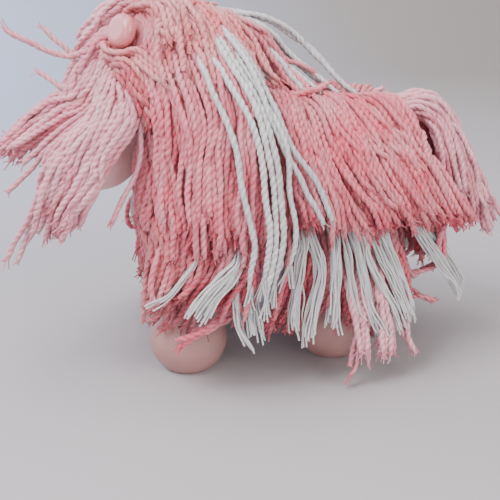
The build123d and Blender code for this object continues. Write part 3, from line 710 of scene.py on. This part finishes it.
def build_piece(name, strands, mat, step=0.5):
    """All strands of one piece as one mesh, with an atlas of strips as its UV map."""
    V, F, C, Y, UV = [], [], [], [], []
    base = 0
    nS = 0
    jobs = []
    for s in strands:
        jobs.append((s["P"], s["r"], s["kind"], s["col"], s["seed"], s.get("depth", 0.8)))
        rng = np.random.default_rng(s["seed"])
        Pk = s["P"]
        tdir = Pk[-1] - Pk[-4]
        tdir /= np.linalg.norm(tdir) + 1e-9
        # loose fibres at the cut end
        if s["kind"] != "thread":
            many = 9 if s["kind"] == "frayed" else int(rng.integers(3, 7))
            long = rng.uniform(6, 10) if s["kind"] == "frayed" else rng.uniform(2.0, 4.5)
            for _ in range(many):
                d = tdir + rng.normal(0, 0.22 if s["kind"] != "frayed" else 0.16, 3)
                d /= np.linalg.norm(d)
                st = Pk[-1] - tdir * 1.6 + rng.normal(0, 0.35, 3)
                L = long * rng.uniform(0.6, 1.0)
                g = np.linspace(0, 1, 6)[:, None]
                curl = rng.normal(0, 0.5, 3)
                Q = st + d * L * g + curl * (g ** 2) * 1.2
                Q[:, 2] = np.maximum(Q[:, 2], 0.3)
                jobs.append((Q, 0.20 if s["kind"] != "frayed" else 0.3,
                             "fibre", s["col"], int(rng.integers(1 << 30)),
                             s.get("depth", 0.8)))
    nJ = len(jobs)
    ncol = max(1, int(math.ceil(math.sqrt(nJ * 8))))
    nrow = int(math.ceil(nJ / ncol))
    for q, (Pk, r, kind, col, seed, f) in enumerate(jobs):
        rng = np.random.default_rng(seed + 1)
        L = np.linalg.norm(np.diff(Pk, axis=0), axis=1).sum()
        st = {"thread": 1.1, "fibre": 1.2}.get(kind, step)
        K = max(4, int(L / st))
        tt = np.linspace(0, 1, K)
        C0 = catmull(Pk, tt)
        tan = np.gradient(C0, axis=0)
        tan /= np.linalg.norm(tan, axis=1)[:, None] + 1e-9
        up = np.array([0.31, 0.12, 0.94]) if abs(tan[0, 2]) < 0.8 else np.array([0.2, 0.97, 0.1])
        N = np.zeros_like(tan)
        n0 = up - tan[0] * (up @ tan[0])
        n0 /= np.linalg.norm(n0)
        N[0] = n0
        for k in range(1, K):
            n0 = n0 - tan[k] * (n0 @ tan[k])
            n0 /= np.linalg.norm(n0) + 1e-12
            N[k] = n0
        B = np.cross(tan, N)
        if kind == "fibre":
            a = np.linspace(0, 2 * math.pi, 3, endpoint=False)
            rr = np.ones(3)
            sh = np.ones(3)
        else:
            a, rr, sh = ply_profile(kind)
        nv = len(a)
        dist = tt * L
        if kind in ("thread", "fibre"):
            rot = np.zeros(K)
            rk = r * np.ones(K)
        else:
            rot = 2 * math.pi * dist / (4.7 * rng.uniform(0.92, 1.12)) + rng.uniform(0, 6.28)
            rk = r * (0.97 + 0.05 * np.sin(dist * 0.9 + rng.uniform(0, 6)))
            tail = smooth01((L - dist) / 2.2)
            rk = rk * (0.72 + 0.28 * tail)
            if kind == "frayed":
                rk = rk * (0.55 + 0.45 * smooth01((L - dist) / 8.0))
        ang = a[None] + rot[:, None]
        rad = rk[:, None] * rr[None]
        ring = (C0[:, None] + N[:, None] * (np.cos(ang) * rad)[..., None]
                + B[:, None] * (np.sin(ang) * rad)[..., None])
        V.append(ring.reshape(-1, 3))
        lo, hi = COLORS[col]
        # painted shade: strands that lie deep in their lock, under others, take mostly the darker first
        # tone and outer strands the lighter second tone; 30% of the mix is random tone
        w = 0.3 * rng.uniform(0, 1) + 0.7 * f
        c = np.array(lo) * (1 - w) + np.array(hi) * w
        c = c * rng.uniform(0.95, 1.04)
        # painted shade: the colour turns darker and more saturated in the ply groove and over the first
        # 14 mm from the root, where other strands cover it
        shade = np.repeat(sh[None], K, 0)
        root_painted_shade = 0.86 + 0.14 * smooth01(dist / 14.0)
        shade = shade * root_painted_shade[:, None]
        cc = c[None, None] ** (1.0 + 0.55 * (1 - shade[..., None]) / 0.2)
        cc = np.concatenate([cc, np.ones(cc.shape[:2] + (1,))], 2)
        C.append(cc.reshape(-1, 4))
        yy = np.stack([np.cos(a)[None].repeat(K, 0) * 0.5 + (q % 97) * 3.7,
                       np.sin(a)[None].repeat(K, 0) * 0.5,
                       np.repeat((dist * 0.09)[:, None], nv, 1)], 2)
        Y.append(yy.reshape(-1, 3))
        k = np.arange(K - 1)[:, None]
        j = np.arange(nv)[None]
        j2 = (j + 1) % nv
        quad = np.stack([k * nv + j, (k + 1) * nv + j, (k + 1) * nv + j2, k * nv + j2], 2)
        F.append(quad.reshape(-1, 4) + base)
        cx, cy = q % ncol, q // ncol
        u0 = (cx + 0.06 + 0.88 * j / nv) / ncol + 0 * k
        u1 = (cx + 0.06 + 0.88 * (j + 1) / nv) / ncol + 0 * k
        v0 = (cy + 0.02 + 0.96 * k / (K - 1)) / nrow + 0 * j
        v1 = (cy + 0.02 + 0.96 * (k + 1) / (K - 1)) / nrow + 0 * j
        UV.append(np.stack([np.stack([u0, v0], 2), np.stack([u0, v1], 2),
                            np.stack([u1, v1], 2), np.stack([u1, v0], 2)], 2).reshape(-1, 2))
        base += K * nv
    V = np.concatenate(V) * MM
    F = np.concatenate(F)
    C = np.concatenate(C)
    Y = np.concatenate(Y)
    UV = np.concatenate(UV)
    me = bpy.data.meshes.new(name)
    me.vertices.add(len(V))
    me.vertices.foreach_set("co", V.astype(np.float32).ravel())
    me.loops.add(F.size)
    me.loops.foreach_set("vertex_index", F.astype(np.int32).ravel())
    me.polygons.add(len(F))
    me.polygons.foreach_set("loop_start", (np.arange(len(F)) * 4).astype(np.int32))
    me.update(calc_edges=True)
    me.polygons.foreach_set("use_smooth", np.ones(len(F), bool))
    at = me.attributes.new("Col", "FLOAT_COLOR", "POINT")
    at.data.foreach_set("color", C.astype(np.float32).ravel())
    at = me.attributes.new("fibre", "FLOAT_VECTOR", "POINT")
    at.data.foreach_set("vector", Y.astype(np.float32).ravel())
    uv = me.uv_layers.new(name="OFBake")
    uv.data.foreach_set("uv", UV.astype(np.float32).ravel())
    me.materials.append(mat)
    me.validate()
    ob = bpy.data.objects.new(name, me)
    bpy.context.scene.collection.objects.link(ob)
    return ob


# --------------------------------------------------------------- materials
def new_mat(name):
    m = bpy.data.materials.new(name)
    m.use_nodes = True
    nt = m.node_tree
    nt.nodes.clear()
    out = nt.nodes.new("ShaderNodeOutputMaterial")
    b = nt.nodes.new("ShaderNodeBsdfPrincipled")
    nt.links.new(b.outputs[0], out.inputs[0])
    return m, nt, b


def yarn_mat(name, rough=0.5, sheen=0.35):
    m, nt, b = new_mat(name)
    N, L = nt.nodes, nt.links
    col = N.new("ShaderNodeAttribute")
    col.attribute_name = "Col"
    fib = N.new("ShaderNodeAttribute")
    fib.attribute_name = "fibre"
    n1 = N.new("ShaderNodeTexNoise")
    n1.inputs["Scale"].default_value = 9.0
    n1.inputs["Detail"].default_value = 4.0
    n1.inputs["Roughness"].default_value = 0.65
    L.new(fib.outputs["Vector"], n1.inputs["Vector"])
    n2 = N.new("ShaderNodeTexNoise")
    n2.inputs["Scale"].default_value = 90.0
    n2.inputs["Detail"].default_value = 2.0
    tc = N.new("ShaderNodeTexCoord")
    L.new(tc.outputs["Object"], n2.inputs["Vector"])
    hsv = N.new("ShaderNodeHueSaturation")
    mr = N.new("ShaderNodeMapRange")
    mr.inputs["From Min"].default_value = 0.3
    mr.inputs["From Max"].default_value = 0.7
    mr.inputs["To Min"].default_value = 0.80
    mr.inputs["To Max"].default_value = 1.12
    L.new(n1.outputs["Fac"], mr.inputs["Value"])
    L.new(mr.outputs["Result"], hsv.inputs["Value"])
    mr2 = N.new("ShaderNodeMapRange")
    mr2.inputs["From Min"].default_value = 0.35
    mr2.inputs["From Max"].default_value = 0.65
    mr2.inputs["To Min"].default_value = 0.9
    mr2.inputs["To Max"].default_value = 1.1
    L.new(n2.outputs["Fac"], mr2.inputs["Value"])
    L.new(mr2.outputs["Result"], hsv.inputs["Saturation"])
    L.new(col.outputs["Color"], hsv.inputs["Color"])
    L.new(hsv.outputs["Color"], b.inputs["Base Color"])
    bp = N.new("ShaderNodeBump")
    bp.inputs["Strength"].default_value = 0.8
    bp.inputs["Distance"].default_value = 0.00025
    L.new(n1.outputs["Fac"], bp.inputs["Height"])
    L.new(bp.outputs["Normal"], b.inputs["Normal"])
    mr3 = N.new("ShaderNodeMapRange")
    mr3.inputs["To Min"].default_value = rough - 0.08
    mr3.inputs["To Max"].default_value = rough + 0.12
    L.new(n1.outputs["Fac"], mr3.inputs["Value"])
    L.new(mr3.outputs["Result"], b.inputs["Roughness"])
    b.inputs["Sheen Weight"].default_value = sheen
    b.inputs["Sheen Roughness"].default_value = 0.45
    b.inputs["Specular IOR Level"].default_value = 0.45
    return m


def vinyl_mat(name, color, rough=0.42, coat=0.12, sss=0.12, spec=0.5):
    m, nt, b = new_mat(name)
    N, L = nt.nodes, nt.links
    tc = N.new("ShaderNodeTexCoord")
    big = N.new("ShaderNodeTexNoise")
    big.inputs["Scale"].default_value = 45.0
    big.inputs["Detail"].default_value = 4.0
    L.new(tc.outputs["Object"], big.inputs["Vector"])
    fine = N.new("ShaderNodeTexNoise")
    fine.inputs["Scale"].default_value = 1400.0
    fine.inputs["Detail"].default_value = 3.0
    L.new(tc.outputs["Object"], fine.inputs["Vector"])
    ramp = N.new("ShaderNodeValToRGB")
    c = np.array(color)
    ramp.color_ramp.elements[0].position = 0.3
    ramp.color_ramp.elements[0].color = (*(c ** 1.18), 1)
    ramp.color_ramp.elements[1].position = 0.7
    ramp.color_ramp.elements[1].color = (*(c ** 0.94), 1)
    L.new(big.outputs["Fac"], ramp.inputs["Fac"])
    L.new(ramp.outputs["Color"], b.inputs["Base Color"])
    bp = N.new("ShaderNodeBump")
    bp.inputs["Strength"].default_value = 0.25
    bp.inputs["Distance"].default_value = 0.00008
    L.new(fine.outputs["Fac"], bp.inputs["Height"])
    L.new(bp.outputs["Normal"], b.inputs["Normal"])
    mr = N.new("ShaderNodeMapRange")
    mr.inputs["To Min"].default_value = rough - 0.07
    mr.inputs["To Max"].default_value = rough + 0.1
    L.new(big.outputs["Fac"], mr.inputs["Value"])
    L.new(mr.outputs["Result"], b.inputs["Roughness"])
    b.inputs["Coat Weight"].default_value = coat
    b.inputs["Coat Roughness"].default_value = 0.25
    b.inputs["Subsurface Weight"].default_value = sss
    b.inputs["Subsurface Radius"].default_value = (1.0, 0.35, 0.25)
    b.inputs["Subsurface Scale"].default_value = 0.004
    b.inputs["Specular IOR Level"].default_value = spec
    return m


def tape_mat(name, color):
    m, nt, b = new_mat(name)
    N, L = nt.nodes, nt.links
    tc = N.new("ShaderNodeTexCoord")
    w1 = N.new("ShaderNodeTexWave")
    w1.bands_direction = "X"
    w1.inputs["Scale"].default_value = 500.0
    w2 = N.new("ShaderNodeTexWave")
    w2.bands_direction = "Y"
    w2.inputs["Scale"].default_value = 500.0
    L.new(tc.outputs["Object"], w1.inputs["Vector"])
    L.new(tc.outputs["Object"], w2.inputs["Vector"])
    mx = N.new("ShaderNodeMath")
    mx.operation = "MULTIPLY"
    L.new(w1.outputs["Fac"], mx.inputs[0])
    L.new(w2.outputs["Fac"], mx.inputs[1])
    ramp = N.new("ShaderNodeValToRGB")
    c = np.array(color)
    ramp.color_ramp.elements[0].color = (*(c * 0.6), 1)
    ramp.color_ramp.elements[1].color = (*c, 1)
    L.new(mx.outputs[0], ramp.inputs["Fac"])
    L.new(ramp.outputs["Color"], b.inputs["Base Color"])
    bp = N.new("ShaderNodeBump")
    bp.inputs["Strength"].default_value = 0.5
    bp.inputs["Distance"].default_value = 0.0002
    L.new(mx.outputs[0], bp.inputs["Height"])
    L.new(bp.outputs["Normal"], b.inputs["Normal"])
    b.inputs["Roughness"].default_value = 0.85
    b.inputs["Sheen Weight"].default_value = 0.3
    return m


VINYL = vinyl_mat("vinyl_pink", (0.45, 0.245, 0.23), rough=0.45, coat=0.08, sss=0.15)
# painted light: the head's vinyl is a much lighter copy of the vinyl, to brighten the muzzle that the
# forelock and curtain shade
LIT_HEAD_VINYL = vinyl_mat("vinyl_head", (0.93, 0.56, 0.56), rough=0.42, coat=0.1, sss=0.2)
EARV = vinyl_mat("vinyl_ear", (0.66, 0.225, 0.245), rough=0.25, coat=0.45, sss=0.3)
HARD = vinyl_mat("hard_plastic", (0.70, 0.66, 0.60), rough=0.4, coat=0.05, sss=0.05)
EYE = vinyl_mat("eye_bead", (0.012, 0.009, 0.012), rough=0.12, coat=1.0, sss=0.0)
TAPE = tape_mat("woven_tape", (0.62, 0.30, 0.33))
YARN = yarn_mat("yarn_pink")
WYARN = yarn_mat("yarn_white", rough=0.52, sheen=0.3)

# ------------------------------------------------------ yarn pieces by name
groups = {}
for s in STR:
    groups.setdefault(s["piece"], []).append(s)
RIDES = {}
made = {}
for name, strands in groups.items():
    white = all(s["col"] == "white" for s in strands)
    made[name] = build_piece("yarn_" + name, strands, WYARN if white else YARN)

BLEND = ("neck_fall_left", "neck_fall_right", "white_mane_left", "white_mane_right",
         "white_top")
for name, ob in made.items():
    if name in BLEND:
        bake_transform(ob)
    elif name.startswith("forelock") or name.startswith("crest"):
        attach(ob, "head")
    elif name == "tail":
        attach(ob, "tail")
    elif name.startswith("leg_"):
        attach(ob, name[:-5])
    else:
        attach(ob, "torso")

for side in ("left", "right"):
    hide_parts("forelock_" + side)
    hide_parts("cheek_lock_" + side, "mane_" + side)
    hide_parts("shoulder_lock_" + side)
    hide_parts("white_mane_" + side)
    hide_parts("back_coat_" + side)
    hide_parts("flank_coat_" + side, "under_coat_" + side)
    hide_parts("white_fringe_" + side)
    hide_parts("rump_coat_" + side)
    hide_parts("white_tuft_" + side)
    for end in ("front", "hind"):
        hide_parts("leg_wisps_%s_%s" % (end, side))
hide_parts("forelock_centre")
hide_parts("chest_lock")
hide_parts("tail_hair")


# ------------------------------------------------------- smooth vinyl shapes
def blob(name, balls, rods, voxel=0.9, smooth=10, factor=0.5):
    bm = bmesh.new()
    from mathutils import Matrix
    for x, y, z, r in balls:
        bmesh.ops.create_icosphere(bm, subdivisions=5, radius=r * MM,
                                   matrix=Matrix.Translation(Vector((x, y, z)) * MM))
    for a, b_, r0, r1 in rods:
        a, b_ = Vector(a) * MM, Vector(b_) * MM
        d = b_ - a
        mat = Matrix.Translation((a + b_) / 2) @ d.to_track_quat("Z", "Y").to_matrix().to_4x4()
        bmesh.ops.create_cone(bm, cap_ends=True, segments=64, radius1=r0 * MM,
                              radius2=r1 * MM, depth=d.length, matrix=mat)
    me = bpy.data.meshes.new(name)
    bm.to_mesh(me)
    bm.free()
    ob = bpy.data.objects.new(name, me)
    bpy.context.scene.collection.objects.link(ob)
    md = ob.modifiers.new("r", "REMESH")
    md.mode = "VOXEL"
    md.voxel_size = voxel * MM
    sm = ob.modifiers.new("s", "SMOOTH")
    sm.factor = factor
    sm.iterations = smooth
    dg = bpy.context.evaluated_depsgraph_get()
    dg.update()
    new = bpy.data.meshes.new_from_object(ob.evaluated_get(dg))
    ob.modifiers.clear()
    ob.data = new
    for p in new.polygons:
        p.use_smooth = True
    return ob


def coords(ob):
    co = np.zeros(len(ob.data.vertices) * 3, np.float32)
    ob.data.vertices.foreach_get("co", co)
    return co.reshape(-1, 3).astype(float) / MM


def set_coords(ob, co):
    ob.data.vertices.foreach_set("co", (co * MM).astype(np.float32).ravel())
    ob.data.update()


head = blob("head_skin",
            [(-28 + X0, 0, 96.5, 17.7), (-39.5 + X0, 0, 84.5, 14.7),
             (-49 + X0, 0, 73, 15.2), (-44 + X0, 0, 79, 14.2)],
            [((-22 + X0, 0, 75.6), (-23 + X0, 0, 96), 13.0, 14.0)], voxel=0.8, smooth=14)
co = coords(head)
co[:, 2] = np.where((co[:, 0] > -37) & (co[:, 2] < 75.7), 75.7, co[:, 2])
for s in (-1, 1):                      # nostrils, and a soft smile line
    c = np.array([-62.6 + X0, s * 4.6, 75.5])
    d = np.linalg.norm(co - c, axis=1)
    nrm = (co - np.array([-49 + X0, 0, 73]))
    nrm /= np.linalg.norm(nrm, axis=1)[:, None]
    co -= nrm * (1.3 * np.exp(-(d / 1.5) ** 2))[:, None]
mouth = np.abs(co[:, 2] - (66.5 + 0.012 * co[:, 1] ** 2))
front = (co[:, 0] < -52) & (np.abs(co[:, 1]) < 11)
nrm = (co - np.array([-49 + X0, 0, 73]))
nrm /= np.linalg.norm(nrm, axis=1)[:, None]
co -= nrm * (0.8 * np.exp(-(mouth / 0.9) ** 2) * front)[:, None]
set_coords(head, co)
head.data.materials.append(LIT_HEAD_VINYL)
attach(head, "head")
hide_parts("head_shell")

for lx, end in ((-23.5, "front"), (26.0, "hind")):
    for sgn, nm in ((-1, "left"), (1, "right")):
        y = sgn * 14.0
        leg = blob("leg_skin_%s_%s" % (end, nm),
                   [(lx + X0, y, 10, 12.7), (lx + X0, sgn * 19, 34, 8.4)],
                   [((lx + X0, y, 10), (lx + X0, sgn * 17.0, 27), 9.6, 8.6),
                    ((lx + X0, sgn * 17.0, 26), (lx + X0, sgn * 19.5, 40), 8.0, 7.6),
                    ((lx + X0, sgn * 15.3, 46), (lx + X0, sgn * 24.4, 46), 11.0, 10.2)],
                   voxel=0.8, smooth=10)
        co = coords(leg)
        co[:, 2] = np.maximum(co[:, 2], 0.0)
        inner = (co[:, 2] > 30.5) & (co[:, 1] * sgn < 15.3)
        co[inner, 1] = sgn * 15.3
        set_coords(leg, co)
        leg.data.materials.append(VINYL)
        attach(leg, "leg_%s_%s" % (end, nm))
        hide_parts("leg_%s_%s" % (end, nm))

for n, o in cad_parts.items():
    mat = None
    if n in ("torso_shell", "tail_plug"):
        mat = VINYL
    elif n.startswith("ear_"):
        mat = EARV
    elif n.startswith("eye_washer") or n.startswith("hip_") or n in ("neck_plug", "tail_washer"):
        mat = HARD
    elif n.startswith("eye_"):
        mat = EYE
    elif "tape" in n:
        mat = TAPE
    if mat:
        if o.data.materials:
            for k in range(len(o.data.materials)):
                o.data.materials[k] = mat
        else:
            o.data.materials.append(mat)

# ----------------------------------------------------------- floor and light
def cyclorama():
    bm = bmesh.new()
    prof = [(-1.6, 0.0), (0.55, 0.0)]
    for k in range(13):
        a = math.radians(k * 7.5)
        prof.append((0.55 + 0.4 * math.sin(a), 0.4 - 0.4 * math.cos(a)))
    prof.append((0.95, 2.2))
    xs = (-2.5, 2.5)
    rows = [[bm.verts.new((x, y, z)) for x in xs] for y, z in prof]
    for a, b in zip(rows[:-1], rows[1:]):
        bm.faces.new((a[0], a[1], b[1], b[0]))
    me = bpy.data.meshes.new("floor")
    bm.to_mesh(me)
    bm.free()
    for p in me.polygons:
        p.use_smooth = True
    ob = bpy.data.objects.new("floor", me)
    bpy.context.scene.collection.objects.link(ob)
    m, nt, b = new_mat("floor")
    N, L = nt.nodes, nt.links
    tc = N.new("ShaderNodeTexCoord")
    n1 = N.new("ShaderNodeTexNoise")
    n1.inputs["Scale"].default_value = 6.0
    L.new(tc.outputs["Object"], n1.inputs["Vector"])
    ramp = N.new("ShaderNodeValToRGB")
    ramp.color_ramp.elements[0].color = (0.41, 0.378, 0.386, 1)
    ramp.color_ramp.elements[1].color = (0.44, 0.408, 0.418, 1)
    L.new(n1.outputs["Fac"], ramp.inputs["Fac"])
    sep = N.new("ShaderNodeSeparateXYZ")
    L.new(tc.outputs["Object"], sep.inputs[0])
    side = N.new("ShaderNodeMapRange")          # painted window light: cool and bright on the left, darker and warm on the right
    side.inputs["From Min"].default_value = -0.35
    side.inputs["From Max"].default_value = 0.30
    L.new(sep.outputs["X"], side.inputs["Value"])
    painted_wall_light = N.new("ShaderNodeValToRGB")
    painted_wall_light.color_ramp.elements[0].color = (0.57, 0.66, 0.94, 1)
    painted_wall_light.color_ramp.elements[1].color = (0.39, 0.35, 0.335, 1)
    L.new(side.outputs["Result"], painted_wall_light.inputs["Fac"])
    far_ = N.new("ShaderNodeMapRange")          # the painted light and shade grow towards the back
    far_.inputs["From Min"].default_value = 0.05
    far_.inputs["From Max"].default_value = 0.55
    L.new(sep.outputs["Y"], far_.inputs["Value"])
    mix = N.new("ShaderNodeMix")
    mix.data_type = "RGBA"
    L.new(far_.outputs["Result"], mix.inputs[0])
    L.new(ramp.outputs["Color"], mix.inputs[6])
    L.new(painted_wall_light.outputs["Color"], mix.inputs[7])
    L.new(mix.outputs[2], b.inputs["Base Color"])
    b.inputs["Roughness"].default_value = 0.6
    b.inputs["Specular IOR Level"].default_value = 0.25
    me.materials.append(m)


cyclorama()


def area(name, loc, aim, size, power, color):
    li = bpy.data.lights.new(name, "AREA")
    li.shape = "RECTANGLE"
    li.size, li.size_y = size
    li.energy = power
    li.color = color
    ob = bpy.data.objects.new(name, li)
    bpy.context.scene.collection.objects.link(ob)
    ob.location = loc
    ob.rotation_euler = (Vector(aim) - Vector(loc)).to_track_quat("-Z", "Y").to_euler()


area("key", (-0.55, -0.25, 0.85), (0, 0, 0.05), (0.55, 0.55), 12.2, (0.97, 0.98, 1.0))
area("window", (-0.8, 0.5, 0.7), (0, 0, 0.08), (0.8, 0.8), 8.0, (0.88, 0.94, 1.0))
area("right", (0.5, -0.7, 0.5), (0, 0, 0.05), (0.6, 0.6), 6.8, (1.0, 0.96, 0.93))
area("fill", (-0.45, -0.85, 0.22), (0, 0, 0.05), (0.7, 0.4), 3.0, (1.0, 0.97, 0.96))
area("top", (0.1, 0.1, 1.1), (0, 0, 0.0), (0.7, 0.7), 5.6, (1.0, 0.99, 0.98))
w = bpy.data.worlds.new("world")
bpy.context.scene.world = w
w.use_nodes = True
w.node_tree.nodes["Background"].inputs[0].default_value = (0.86, 0.89, 0.95, 1)
w.node_tree.nodes["Background"].inputs[1].default_value = 0.50

print("strands", len(ALL), "threads", len(TUFTS), "faces",
      sum(len(o.data.polygons) for o in made.values()))
